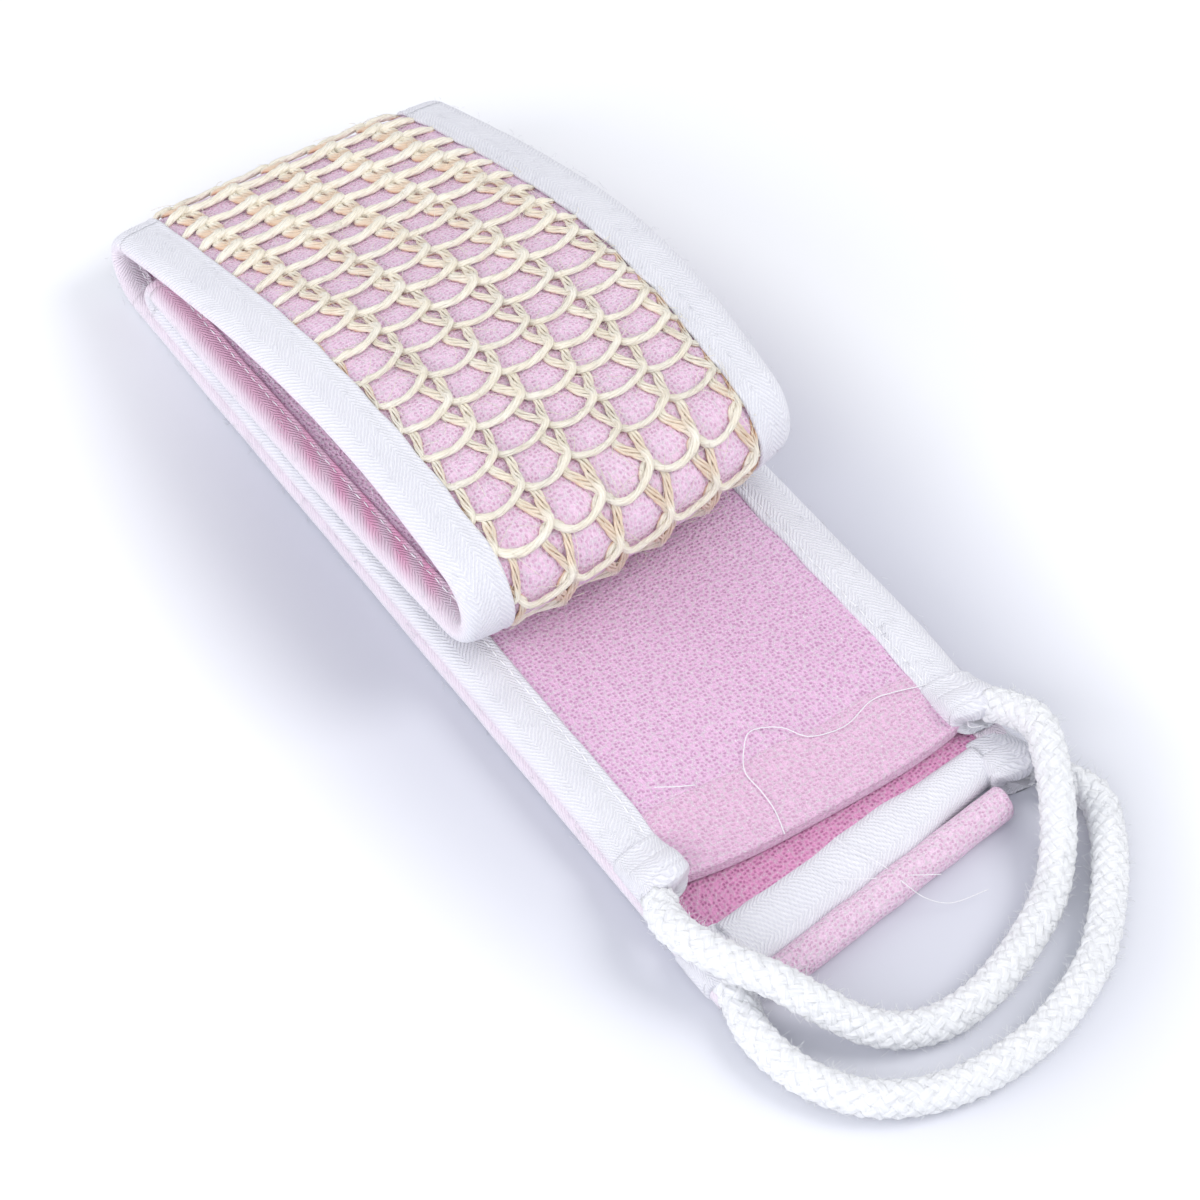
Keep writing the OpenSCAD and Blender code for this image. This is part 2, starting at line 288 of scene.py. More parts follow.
def floor_material():
    """Pale sweep with painted shadow: a little greyer close round the object."""
    material, tree, shader = new_material("pale_floor")
    place = add(tree, "ShaderNodeTexCoord").outputs["Object"]
    parts = add(tree, "ShaderNodeSeparateXYZ", {0: place})
    along = calc(tree, "SUBTRACT", parts.outputs[0], 0.03)
    across = calc(tree, "MULTIPLY", parts.outputs[1], 1.9)
    away = calc(tree, "SQRT", calc(tree, "ADD", calc(tree, "MULTIPLY", along, along),
                                   calc(tree, "MULTIPLY", across, across)))
    grain = noise(tree, place, 7, 3)
    colour = mix(tree, grain, (0.9, 0.91, 0.945, 1), (0.915, 0.925, 0.95, 1))
    # Painted shadow: the floor turns grey-blue close round the object.
    colour = mix(tree, ramp(tree, away, 0.2, 0.1), colour, (0.62, 0.63, 0.7, 1))
    finish_shader(tree, shader, colour, ramp(tree, grain, 0, 1, 0.75, 0.85), grain, 0.02 * MM)
    return material


# ---------------------------------------------------------------- mesh building

TABLE_GAP = 0.1 * MM


class Mesh:
    """Collects closed tubes, each a run of rings, and turns them into one object."""

    def __init__(self):
        self.points, self.faces, self.uvs, self.shades = [], [], [], []
        self.count = 0

    def tube(self, rings, along, round_it, shade=None):
        """rings is (n, m, 3); along has n lengths, round_it has m + 1 lengths round a ring."""
        n, m, _ = rings.shape
        base = self.count
        self.points.append(rings.reshape(-1, 3))
        self.shades.append(np.zeros(n * m) if shade is None else shade.reshape(-1))
        i, k = np.meshgrid(np.arange(n - 1), np.arange(m), indexing="ij")
        after = (k + 1) % m
        quads = np.stack([i * m + k, i * m + after, (i + 1) * m + after, (i + 1) * m + k], -1) + base
        self.faces.extend(quads.reshape(-1, 4).tolist())
        u = np.stack([along[i], along[i], along[i + 1], along[i + 1]], -1)
        v = np.stack([round_it[k], round_it[k + 1], round_it[k + 1], round_it[k]], -1)
        self.uvs.append(np.stack([u, v], -1).reshape(-1, 2))
        for row, order in ((0, range(m - 1, -1, -1)), (n - 1, range(m))):
            order = list(order)
            self.faces.append([base + row * m + j for j in order])
            self.uvs.append(np.array([[along[row], round_it[j]] for j in order]))
        self.count += n * m

    def make(self, name, material):
        data = bpy.data.meshes.new(name)
        points = np.concatenate(self.points)
        points[:, 2] = np.maximum(points[:, 2], TABLE_GAP)
        data.from_pydata(points.tolist(), [], self.faces)
        layer = data.uv_layers.new(name="cloth")
        layer.data.foreach_set("uv", np.concatenate(self.uvs).astype(np.float32).ravel())
        shade = data.attributes.new("shade", "FLOAT", "POINT")
        shade.data.foreach_set("value", np.concatenate(self.shades).astype(np.float32))
        data.polygons.foreach_set("use_smooth", [True] * len(data.polygons))
        data.materials.append(material)
        solid = bmesh.new()
        solid.from_mesh(data)
        bmesh.ops.recalc_face_normals(solid, faces=solid.faces)
        solid.to_mesh(data)
        solid.free()
        made = bpy.data.objects.new(name, data)
        bpy.context.scene.collection.objects.link(made)
        return made


def lengths(points):
    """How far along the line each of its points is."""
    steps = np.linalg.norm(np.diff(points, axis=0), axis=1)
    return np.concatenate([[0], np.cumsum(steps)])


def unit(vectors):
    return vectors / np.maximum(np.linalg.norm(vectors, axis=-1, keepdims=True), 1e-12)


def spline(a, b, c, d, t):
    """The smooth curve from b to c, t going from 0 to 1, where a comes before b and d after c."""
    return 0.5 * (2 * b + (c - a) * t + (2 * a - 5 * b + 4 * c - d) * t ** 2
                  + (3 * b - a - 3 * c + d) * t ** 3)


def open_curve(points, per_span):
    """A smooth curve through the points, up to just before the last one."""
    p = np.asarray(points, float)
    p = np.vstack([2 * p[0] - p[1], p, 2 * p[-1] - p[-2]])
    t = np.linspace(0, 1, per_span, endpoint=False)[:, None]
    return np.vstack([spline(a, b, c, d, t) for a, b, c, d in zip(p[:-3], p[1:-2], p[2:-1], p[3:])])


def closed_curve(points, per_span):
    """A smooth curve through the points and back to the first."""
    p = np.asarray(points, float)
    out = []
    for i in range(len(p)):
        a, b, c, d = (p[(i + k) % len(p)] for k in (-1, 0, 1, 2))
        out.extend(spline(a, b, c, d, t) for t in np.arange(per_span) / per_span)
    return np.array(out)


def curve_through(points, step):
    """Points every step along a smooth curve through the given ones."""
    return evenly(np.vstack([open_curve(points, 12), points[-1:]]), step)


def evenly(points, step):
    """The points of a line spread evenly, about a step apart."""
    far = lengths(points[:, :3])
    n = max(3, int(round(far[-1] / step)) + 1)
    at = np.linspace(0, far[-1], n)
    return np.stack([np.interp(at, far, points[:, j]) for j in range(points.shape[1])], 1)


def axes_along(path, ups):
    """The sideways and upward directions at each point of a path."""
    heading = unit(np.gradient(path, axis=0))
    side = unit(np.cross(heading, ups))
    return side, np.cross(side, heading)


def rings_along(path, ups, radius, sides, flat=1.0):
    """Round rings across a path; ups point out of the surface that it lies on."""
    side, up = axes_along(path, ups)
    turn = np.arange(sides) * 2 * math.pi / sides
    radius = np.broadcast_to(radius, len(path))[:, None, None]
    return path[:, None] + radius * (np.cos(turn)[None, :, None] * side[:, None]
                                     + flat * np.sin(turn)[None, :, None] * up[:, None])


def thin_tube(mesh, path, ups, radius, sides=6, flat=1.0, shade=None):
    far = lengths(path)
    around = np.linspace(0, 2 * math.pi * float(np.mean(radius)), sides + 1)
    mesh.tube(rings_along(path, ups, radius, sides, flat), far, around, shade)


def soft_step(value, low, high):
    t = np.clip((value - low) / (high - low), 0, 1)
    return t * t * (3 - 2 * t)


def blunt(wave, power):
    """A cosine or sine bent towards a square wave, for rings with flat sides."""
    return np.sign(wave) * np.abs(wave) ** power


def ripple(a, b, wave, seed):
    """Gentle unevenness between about -1 and 1 over lengths a and b; the same every run."""
    out = 0
    for k in range(3):
        angle = seed * 1.7 + k * 2.1
        turn = 2 * math.pi / (wave * (1 + 0.37 * k))
        out = out + np.sin(turn * (a * math.cos(angle) + b * math.sin(angle)) + seed * 3.1 + k) / 3
    return out


# ---------------------------------------------------------------- ropes

BRAID_STRANDS = 6
BRAID_TURN = 20 * MM
BRAID_R = 2.7 * MM
BRAID_RISE = 0.4 * MM
STRAND_R = 1.36 * MM
CORE_R = 2.9 * MM
ROPE_STEP = 0.8 * MM
ROPE_HAIRS = 1800
ROPE_HAIR_FOOT_R = 3.6 * MM

# Routes of the ropes' middles, in metres, from the left tab to the right one

LOWER_ROPE_ROUTE = [
    (0.1216, -0.0407, 0.0042), (0.126, -0.0416, 0.0042), (0.133, -0.0434, 0.0042), (0.141, -0.043, 0.0042),
    (0.149, -0.0405, 0.0042), (0.157, -0.035, 0.0042), (0.1625, -0.027, 0.0042), (0.1655, -0.017, 0.0042),
    (0.166, -0.006, 0.0042), (0.1645, 0.005, 0.0042), (0.161, 0.015, 0.0042), (0.156, 0.0245, 0.0042),
    (0.149, 0.0325, 0.0042), (0.1415, 0.0395, 0.0042), (0.134, 0.045, 0.0042), (0.1265, 0.0485, 0.0042),
    (0.1205, 0.0472, 0.0042), (0.1152, 0.0436, 0.0042),
]
UPPER_ROPE_ROUTE = [
    (0.1004, -0.043, 0.0096), (0.105, -0.0448, 0.0104), (0.11, -0.0452, 0.0118), (0.1165, -0.0436, 0.0125),
    (0.1235, -0.0405, 0.0128), (0.1305, -0.0363, 0.0123), (0.138, -0.0313, 0.0094), (0.145, -0.0255, 0.006),
    (0.15, -0.018, 0.0044), (0.152, -0.009, 0.0042), (0.1505, 0.002, 0.0042), (0.146, 0.014, 0.0042),
    (0.14, 0.025, 0.0044), (0.1325, 0.033, 0.0065), (0.124, 0.039, 0.0104), (0.1155, 0.0435, 0.0127),
    (0.1085, 0.0462, 0.0125), (0.1025, 0.0452, 0.0112), (0.0972, 0.0425, 0.0098),
]


# Each rope's route, and where it goes over from the strap to its handle's own body, in metres
ROPES = {
    "lower_handle": (LOWER_ROPE_ROUTE, 0.121, 0.134),
    "upper_handle": (UPPER_ROPE_ROUTE, 0.1, 0.113),
}


def braid(mesh, path):
    """Strands that run both ways round a core and pass over and under each other."""
    far = lengths(path)
    side, up = axes_along(path, (0, 0, 1))
    wave = np.cos(2 * math.pi * BRAID_STRANDS * far / BRAID_TURN)
    for way in (1, -1):
        for k in range(BRAID_STRANDS):
            turn = 2 * math.pi * (way * far / BRAID_TURN + k / BRAID_STRANDS)
            out = np.cos(turn)[:, None] * side + np.sin(turn)[:, None] * up
            reach = BRAID_R + way * BRAID_RISE * wave
            strand = path + reach[:, None] * out
            radius = STRAND_R * (1 + 0.1 * ripple(far, far, 5 * MM, k + way))
            thin_tube(mesh, strand, out, radius, 8, 0.68)
    thin_tube(mesh, path, np.tile(up[0], (len(path), 1)), CORE_R, 14)


def rope_fuzz(mesh, path):
    """Short fibres that stand off the rope."""
    for _ in range(ROPE_HAIRS):
        at = rng.randrange(2, len(path) - 2)
        heading = unit(path[at + 1] - path[at - 1])
        side = unit(np.cross(heading, (0, 0, 1)))
        up = np.cross(side, heading)
        turn = rng.uniform(0, 2 * math.pi)
        out = math.cos(turn) * side + math.sin(turn) * up
        start = path[at] + out * ROPE_HAIR_FOOT_R
        lean = heading * rng.uniform(-1, 1) + side * rng.uniform(-0.5, 0.5)
        length = rng.uniform(0.8, 2.6) * MM
        t = np.linspace(0, 1, 4)[:, None]
        hair = start + t * length * (out * 0.5 + lean) + t ** 2 * length * 0.3 * up
        hair[:, 2] = np.maximum(hair[:, 2], 0.2 * MM)
        thin_tube(mesh, hair, np.tile(out, (4, 1)), 0.04 * MM, 3)


def make_rope(name, route, material):
    """A rope handle along its route."""
    path = curve_through(route, ROPE_STEP)
    mesh = Mesh()
    braid(mesh, path)
    rope_fuzz(mesh, path)
    rope = mesh.make(name, material)
    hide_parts(name.replace("handle", "rope_ends"), name.replace("handle", "rope_loop"))
    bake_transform(rope)


# ---------------------------------------------------------------- the strap's shape, as in the CAD

STRAP_W = 90 * MM
EDGE_T = 5 * MM
PADDING_T = 2 * MM
FABRIC_T = 0.8 * MM
BINDING_W = 11 * MM
NET_T = 1.4 * MM
FOLDED_L = 253 * MM
LAYER_GAP = 0.3 * MM
UPPER_END_INSET = 26.5 * MM
REAR_BEND_R = 8.15 * MM
INNER_BEND_X = 22 * MM
FRONT_BEND_X = 146 * MM
FRONT_BEND_Z = 37.2 * MM
FRONT_BEND_R = 9 * MM
FRONT_BEND_SLOPE = math.radians(12.8)
INNER_RUN_SLOPE = math.radians(6.8)
TOP_REAR_SLOPE = math.radians(19)
END_SLANT = 0.145

HALF_W = STRAP_W / 2
HALF_EDGE = EDGE_T / 2
HALF_PANEL = PADDING_T / 2 + FABRIC_T
INSIDE_HALF_W = HALF_W - BINDING_W

LOWER_Z = HALF_EDGE
UPPER_Z = LOWER_Z + EDGE_T + LAYER_GAP
INNER_Z = UPPER_Z + EDGE_T + LAYER_GAP
REAR_BEND_Z = LOWER_Z + REAR_BEND_R
INNER_BEND_Z = (UPPER_Z + INNER_Z) / 2
INNER_BEND_R = (INNER_Z - UPPER_Z) / 2

REAR_NOSE_X = -FOLDED_L / 2
TIP_X = FOLDED_L / 2
HINGE_X = REAR_NOSE_X + REAR_BEND_R + HALF_PANEL + NET_T
INNER_START_X = REAR_NOSE_X + INNER_BEND_X
TOP_END = np.array([REAR_NOSE_X + FRONT_BEND_X, FRONT_BEND_Z])
UPPER_END_X = TIP_X - UPPER_END_INSET


def on_circle(centre, radius, angle):
    return np.asarray(centre) + radius * np.stack([np.cos(angle), np.sin(angle)], -1)


def arc(centre, radius, start, stop):
    return on_circle(centre, radius, np.radians(np.linspace(start, stop, 60)))


def bezier(a, b, c, d):
    t = np.linspace(0, 1, 120)[:, None]
    u = 1 - t
    return u ** 3 * a + 3 * u * u * t * b + 3 * u * t * t * c + t ** 3 * d


def strap_stretches():
    """The strap's mid-thickness in the XZ plane, one stretch after another from the lower end."""
    rear_end = np.array([HINGE_X - REAR_BEND_R * math.sin(TOP_REAR_SLOPE),
                         REAR_BEND_Z + REAR_BEND_R * math.cos(TOP_REAR_SLOPE)])
    top_reach = (TOP_END[0] - rear_end[0]) / 3
    centre = TOP_END - FRONT_BEND_R * np.array([math.sin(FRONT_BEND_SLOPE), math.cos(FRONT_BEND_SLOPE)])
    inner_front = centre + FRONT_BEND_R * np.array([math.sin(INNER_RUN_SLOPE), -math.cos(INNER_RUN_SLOPE)])
    inner_reach = (inner_front[0] - INNER_START_X) / 3
    return [
        np.linspace((TIP_X, LOWER_Z), (HINGE_X, LOWER_Z), 60),
        arc((HINGE_X, REAR_BEND_Z), REAR_BEND_R, 270, 90 + math.degrees(TOP_REAR_SLOPE)),
        bezier(rear_end,
               rear_end + 1.1 * top_reach * np.array([1, math.tan(TOP_REAR_SLOPE)]),
               TOP_END - top_reach * np.array([1, -math.tan(FRONT_BEND_SLOPE)]),
               TOP_END),
        arc(centre, FRONT_BEND_R, 90 - math.degrees(FRONT_BEND_SLOPE), -90 + math.degrees(INNER_RUN_SLOPE)),
        bezier(inner_front,
               inner_front - inner_reach * np.array([1, math.tan(INNER_RUN_SLOPE)]),
               np.array([INNER_START_X + 1.2 * inner_reach, INNER_Z]),
               np.array([INNER_START_X, INNER_Z])),
        arc((INNER_START_X, INNER_BEND_Z), INNER_BEND_R, 90, 270),
        np.linspace((INNER_START_X, UPPER_Z), (UPPER_END_X, UPPER_Z), 60),
    ]


stretches = strap_stretches()
path_xz = np.vstack([stretches[0]] + [stretch[1:] for stretch in stretches[1:]])
path_far = lengths(path_xz)
stops = np.cumsum([0] + [lengths(stretch)[-1] for stretch in stretches])
REAR_AT, TOP_AT, FRONT_AT, INNER_AT, INNER_BEND_AT, UPPER_AT, END_AT = stops[1:]
path_normal = unit(np.gradient(path_xz, path_far, axis=0))[:, ::-1] * (-1, 1)


def warp(s, y):
    """How far the soft strap strays from straight: (dx, dy, dz) at length s and place y across it."""
    across = y / HALF_W
    fold = soft_step(s, TOP_AT + 30 * MM, FRONT_AT) * (1 - soft_step(s, INNER_AT, INNER_BEND_AT - 30 * MM))
    nose = soft_step(s, FRONT_AT - 12 * MM, FRONT_AT + 8 * MM)
    nose = nose * (1 - soft_step(s, INNER_AT - 8 * MM, INNER_AT + 12 * MM))
    top = np.clip((s - TOP_AT) / (FRONT_AT - TOP_AT), 0, 1)
    lower_end = 1 - soft_step(s, 12 * MM, 70 * MM)
    upper_end = soft_step(s, END_AT - 28 * MM, END_AT)
    dx = -5 * MM * across * fold + 3 * MM * (1 - across ** 2) * nose
    dx = dx - END_SLANT * y * lower_end - 5.5 * MM * np.abs(across) ** 3 * upper_end
    dy = 3 * MM * np.clip(across, 0, 1) ** 2 * np.sin(math.pi * top)
    dz = -0.9 * MM * across ** 6 * np.sin(math.pi * top)
    dz = dz + 0.35 * MM * ripple(s, y, 55 * MM, 3) * np.sin(math.pi * top)
    return dx, dy, dz


def on_strap(s, y, h):
    """Points at length s along the strap, y across it and h off its middle towards the netting side."""
    s, y, h = np.broadcast_arrays(s, y, h)
    thin = 1 - 0.42 * soft_step(s, END_AT - 34 * MM, END_AT - 4 * MM)
    h = (h + HALF_EDGE) * thin - HALF_EDGE
    x = np.interp(s, path_far, path_xz[:, 0])
    z = np.interp(s, path_far, path_xz[:, 1])
    normal = unit(np.stack([np.interp(s, path_far, path_normal[:, 0]),
                            np.interp(s, path_far, path_normal[:, 1])], -1))
    dx, dy, dz = warp(s, y)
    z = np.maximum(z + normal[..., 1] * h + dz, 0.15 * MM)
    return np.stack([x + normal[..., 0] * h + dx, y + dy, z], -1)


def strap_up(s):
    nx = np.interp(s, path_far, path_normal[:, 0])
    nz = np.interp(s, path_far, path_normal[:, 1])
    return unit(np.stack([nx, np.zeros_like(nx), nz], -1))


# ---------------------------------------------------------------- netting layout

NET_PITCH = 13.2 * MM
NET_ROW = 8.74 * MM
NET_DRIFT = 7.5 * MM
NET_ROWS_BEFORE_TOP = 2
NET_FIRST_S = TOP_AT + 10.9 * MM - (NET_ROWS_BEFORE_TOP + 1) * NET_ROW
NET_HALF_W = INSIDE_HALF_W + 0.7 * MM
NET_ROWS = int((INNER_BEND_AT - 6 * MM - NET_FIRST_S) / NET_ROW)


def net_drift(s):
    """The netting's columns run a little askew over the rear half of the top run."""
    return NET_DRIFT * (1 - soft_step(s, TOP_AT + 5 * MM, TOP_AT + 115 * MM))


def knot(row, column):
    """Length along the strap and place across it of one knot of the netting."""
    loose = random.Random(row * 101 + column)
    s = NET_FIRST_S + row * NET_ROW + loose.uniform(-0.6, 0.6) * MM
    y = (column + 0.5) * NET_PITCH - net_drift(s) + loose.uniform(-0.5, 0.5) * MM
    return np.array([s, y])


def cell_bulge(s, y):
    """How far the fabric swells into the middle of each cell of the netting."""
    row = (s - NET_FIRST_S) / NET_ROW
    column = (y + net_drift(s)) / NET_PITCH - 0.5
    inside = soft_step(s, NET_FIRST_S, NET_FIRST_S + 15 * MM)
    inside = inside * (1 - soft_step(s, INNER_BEND_AT - 20 * MM, INNER_BEND_AT))
    return 0.5 * MM * np.sin(math.pi * column) ** 2 * np.sin(math.pi * (row - 0.35)) ** 2 * inside


# ---------------------------------------------------------------- strap pieces

PANEL_STEP = 1.4 * MM
TAPE_STEP = 1.2 * MM
# The bends between bodies have a finer step.
BEND_STEP = 0.4 * MM
FACE_COLUMNS = 58
BACK_COLUMNS = 40


def swell(y):
    """How far the padding lifts the fabric, most in the middle of the strap."""
    return 0.35 * MM * (1 - (y / INSIDE_HALF_W) ** 2)


def make_panel(name, start, stop, material, step):
    """The padded fabric between the bindings: face, padding and back as one closed quilted layer."""
    s = np.linspace(start, stop, max(6, int((stop - start) / step)))
    reach = HALF_W - 3.5 * MM
    y = np.concatenate([np.linspace(-reach, reach, FACE_COLUMNS), np.linspace(reach, -reach, BACK_COLUMNS)])
    side = np.concatenate([np.ones(FACE_COLUMNS), -np.ones(BACK_COLUMNS)])
    grid_s, grid_y = np.meshgrid(s, y, indexing="ij")
    crown = swell(grid_y) + 0.12 * MM * ripple(grid_s, grid_y, 17 * MM, 5)
    off = side * (HALF_PANEL + np.maximum(crown, -0.2 * MM))
    off = off + np.where(side > 0, cell_bulge(grid_s, grid_y), 0)
    mesh = Mesh()
    mesh.tube(on_strap(grid_s, grid_y, off), s, np.append(y, y[0]))
    return mesh.make(name, material)


# The folded tape's outline round the edge: (place across, height off the strap's middle) in millimetres
BINDING_PROFILE = [
    (33.9, 1.6), (33.95, 2.15), (34.5, 2.42), (35.6, 2.18),
    (36.9, 2.46), (39, 2.62), (41.4, 2.58), (43.3, 2.2),
    (44.5, 1.35), (44.95, 0.2), (44.8, -0.9), (44.1, -1.8), (42.8, -2.45), (40.6, -2.5),
    (39.4, -2.2), (38.5, -2.38), (38.0, -2.1), (37.9, -1.6), (38.5, -0.9), (35.5, 0.9),
]
NET_LIFT = 0.55 * MM
LINT_PER_M = 1500


def pink_bounce_light(s, y, h):
    """How much painted pink reflection from the cloth the tape gets: strong and in waves inside the fold,
    faint along the lower edges.
    """
    inside = soft_step(s, INNER_AT - 4 * MM, INNER_AT + 16 * MM)
    inside = inside * (1 - soft_step(s, UPPER_AT - 12 * MM, UPPER_AT))
    near_front = soft_step(s, INNER_AT + 95 * MM, INNER_AT + 30 * MM)
    waves = 0.65 + 0.35 * np.sin(2 * math.pi * s / (12 * MM) + y / MM) * near_front
    towards_cloth = soft_step(h, 1.2 * MM, -2.2 * MM) * soft_step(y, 45.2 * MM, 41 * MM)
    lower = soft_step(h, 2 * MM, -1.5 * MM) * 0.16
    return np.clip(inside * waves * towards_cloth * 0.8 + lower, 0, 1)


def add_lint(mesh, profile, side, start, stop):
    """Short fibres that stand off a worn binding."""
    loose = random.Random(int(start * 1e5) + side)
    for _ in range(int((stop - start) * LINT_PER_M)):
        at = loose.randrange(len(profile))
        s, (y, h) = loose.uniform(start, stop - 2 * MM), profile[at] * 1.02
        reach, turn = loose.uniform(0.8, 2.6) * MM, loose.uniform(0, 2 * math.pi)
        t = np.linspace(0, 1, 4)
        along = s + t * reach * math.cos(turn)
        out_y = y + 0.5 * t * reach * math.sin(turn)
        out_h = h * (1 + 0.25 * t * (2 - t))
        thin_tube(mesh, on_strap(along, side * out_y, out_h), strap_up(along), 0.05 * MM, 3)


def make_binding(name, side, start, stop, material, step):
    """Tape folded round one edge; side is -1 for the left edge and 1 for the right."""
    profile = closed_curve(BINDING_PROFILE, 2) * MM
    s = np.linspace(start, stop, max(8, int((stop - start) / step)))
    grid_s, y = np.meshgrid(s, profile[:, 0], indexing="ij")
    h = np.broadcast_to(profile[:, 1], y.shape)
    inner = soft_step(y, 38 * MM, 34 * MM)
    y = y + inner * 0.3 * MM * ripple(grid_s, 0, 9 * MM, 2 + side)
    y = y + 0.12 * MM * ripple(grid_s, h, 21 * MM, side)
    h = h * (1 + 0.035 * ripple(grid_s, y, 7 * MM, 4 + side) + 0.03 * ripple(grid_s, y, 26 * MM, 6 + side))
    over_net = soft_step(grid_s, REAR_AT, REAR_AT + 12 * MM)
    over_net = over_net * (1 - soft_step(grid_s, INNER_AT - 6 * MM, INNER_AT))
    h = h + NET_LIFT * over_net * soft_step(y, 40 * MM, 35 * MM) * (h > 1 * MM)
    round_it = lengths(np.vstack([profile, profile[:1]]))
    mesh = Mesh()
    mesh.tube(on_strap(grid_s, side * y, h), s, round_it, pink_bounce_light(grid_s, y, h))
    add_lint(mesh, profile, side, start, stop)
    return mesh.make(name, material)


# How far out each face's row of stitches runs: 1 is the netting side, -1 the other
STITCH_LINE = {1: HALF_W - 9.4 * MM, -1: HALF_W - 5.6 * MM}
STITCH_STEP = 3.1 * MM
# One stitch: how far along it each of its points is, how high it stands and how thick it is
STITCH_ALONG = np.array([0, 0.25, 1.1, 1.95, 2.2]) * MM
STITCH_HEIGHT = np.array([2.05, 2.28, 2.34, 2.28, 2.05]) * MM
STITCH_R = np.array([0.08, 0.16, 0.18, 0.16, 0.08]) * MM


def make_stitching(name, start, stop, material):
    """Rows of stitches that hold each binding, on both faces."""
    mesh = Mesh()
    for side in (-1, 1):
        for face in (-1, 1):
            for s in np.arange(start + 1.5 * MM, stop - 3 * MM, STITCH_STEP):
                along = s + STITCH_ALONG
                y = side * STITCH_LINE[face] + 0.12 * MM * np.sin(along * 900)
                h = face * STITCH_HEIGHT * (1 if face > 0 else 0.96)
                thin_tube(mesh, on_strap(along, y, h), strap_up(along) * face, STITCH_R, 5)
    return mesh.make(name, material)


# ---------------------------------------------------------------- netting

YARN_STEP = 0.88 * MM
PLIES = 5
PLY_TURN = 17 * MM

# One repeat of a row's yarn, from a knot: (across, forward, height) in millimetres
ARC_SHAPE = [(0.5, 1.3, 1.0), (1.7, 2.2, 1.4), (3.6, 2.7, 1.35), (5.9, 2.8, 1.15), (8.4, 2.45, 1.3),
             (10.5, 1.8, 1.55), (12.3, 0.95, 1.75), (13.1, -0.1, 1.8)]
LOOP_SHAPE = [(0.1, -1.3, 1.4), (0.5, -2.6, 0.95), (1.2, -4.4, 0.6), (1.6, -6.0, 0.5),
              (1.2, -7.6, 0.45), (-0.7, -8.5, 0.45), (-2.5, -7.6, 0.45), (-3.1, -6.0, 0.5),
              (-2.4, -4.2, 0.55), (-1.3, -2.2, 0.65), (-0.3, -0.4, 0.8)]


def tightness(s):
    """1 over the rear of the top run, where the netting is pulled straight, 0 at the front."""
    return 1 - soft_step(s, TOP_AT + 15 * MM, TOP_AT + 95 * MM)


def row_yarn(row):
    """(s, y, height, spread) along one row's yarn, from one binding to the other."""
    points = []
    for column in range(-4, 4):
        here, ahead = knot(row, column), knot(row, column + 1)
        loose = random.Random(row * 37 + column * 5)
        tight = tightness(here[0])
        sag = loose.uniform(0.85, 1.15) * (1 - 0.55 * tight)
        for a, f, h in ARC_SHAPE:
            base = here + (ahead - here) * a * MM / NET_PITCH
            points.append((base[0] + f * sag * MM, base[1], h * MM, 0.25 * tight))
        above = knot(row - 1, column + 1) - ahead if row > 0 else np.array([-NET_ROW, 0])
        narrow = loose.uniform(0.8, 1.15) * (1 - 0.3 * tight)
        for a, f, h in LOOP_SHAPE:
            back = -f * MM / NET_ROW
            points.append((ahead[0] + back * above[0], ahead[1] + a * narrow * MM + back * above[1], h * MM,
                           math.sin(math.pi * min(1, back + 0.12))))
    return np.array(points)


def inside_runs(yarn, low, high):
    """The parts of a yarn between the bindings and between two lengths of the strap."""
    keep = (np.abs(yarn[:, 1]) < NET_HALF_W) & (yarn[:, 0] >= low) & (yarn[:, 0] <= high)
    edges = np.flatnonzero(np.diff(np.concatenate([[0], keep.astype(int), [0]])))
    return [yarn[a:b] for a, b in zip(edges[::2], edges[1::2]) if b - a > 4]


def net_height(s, y):
    """How high the netting lies over the strap's middle."""
    return HALF_PANEL + swell(y)


def add_yarn(mesh, yarn, seed):
    """Loosely twisted plies along a yarn; they spread and lie flat in the legs between two rows."""
    s, y, h, spread = yarn.T
    tuck = soft_step(np.abs(y), INSIDE_HALF_W - 3 * MM, INSIDE_HALF_W + 0.3 * MM)
    h = h * (1 - 0.9 * tuck)
    path = on_strap(s, y, net_height(s, y) + h)
    ups = strap_up(s)
    side, up = axes_along(path, ups)
    far = lengths(path)
    loose = random.Random(int(seed * 1000))
    tight = tightness(s)
    fat = loose.uniform(0.9, 1.15) * (1 + 0.15 * ripple(s, y, 23 * MM, seed) + 0.38 * tight)
    fat = fat * (1 - 0.35 * tuck)
    # Painted shade: the legs between rows, most at the rear, and the yarn round the front fold turn
    # browner.
    leg_shade = (0.28 + 0.3 * tight) * soft_step(spread, 0.3, 1)
    fold_shade = 0.22 * soft_step(s, FRONT_AT - 14 * MM, FRONT_AT + 6 * MM)
    for ply in range(PLIES):
        turn = 2 * math.pi * (far / PLY_TURN + ply / PLIES) + seed
        wide = (0.42 + 0.36 * spread) * MM * (1 + 0.3 * ripple(far, far, 9 * MM, seed + ply))
        rise = 0.4 * MM * (1 - 0.6 * spread) * np.sin(turn)
        strand = path + (fat * wide * np.cos(turn))[:, None] * side + rise[:, None] * up
        radius = (0.44 - 0.06 * spread) * MM * fat * (1 + 0.12 * ripple(far, far, 5 * MM, seed * 2 + ply))
        rings = rings_along(strand, ups, radius, 5, 0.9)
        top = (h + rise)[:, None] + radius[:, None] * np.sin(np.arange(5) * 2 * math.pi / 5)[None, :]
        # Painted shade: the low sides of the plies near the cloth turn browner.
        shade = soft_step(top, 0.9 * MM, -0.1 * MM) * 0.8 + (leg_shade + fold_shade)[:, None]
        around = np.linspace(0, 2 * math.pi * 0.45 * MM, 6)
        mesh.tube(rings, far + seed, around, np.clip(shade, 0, 1))


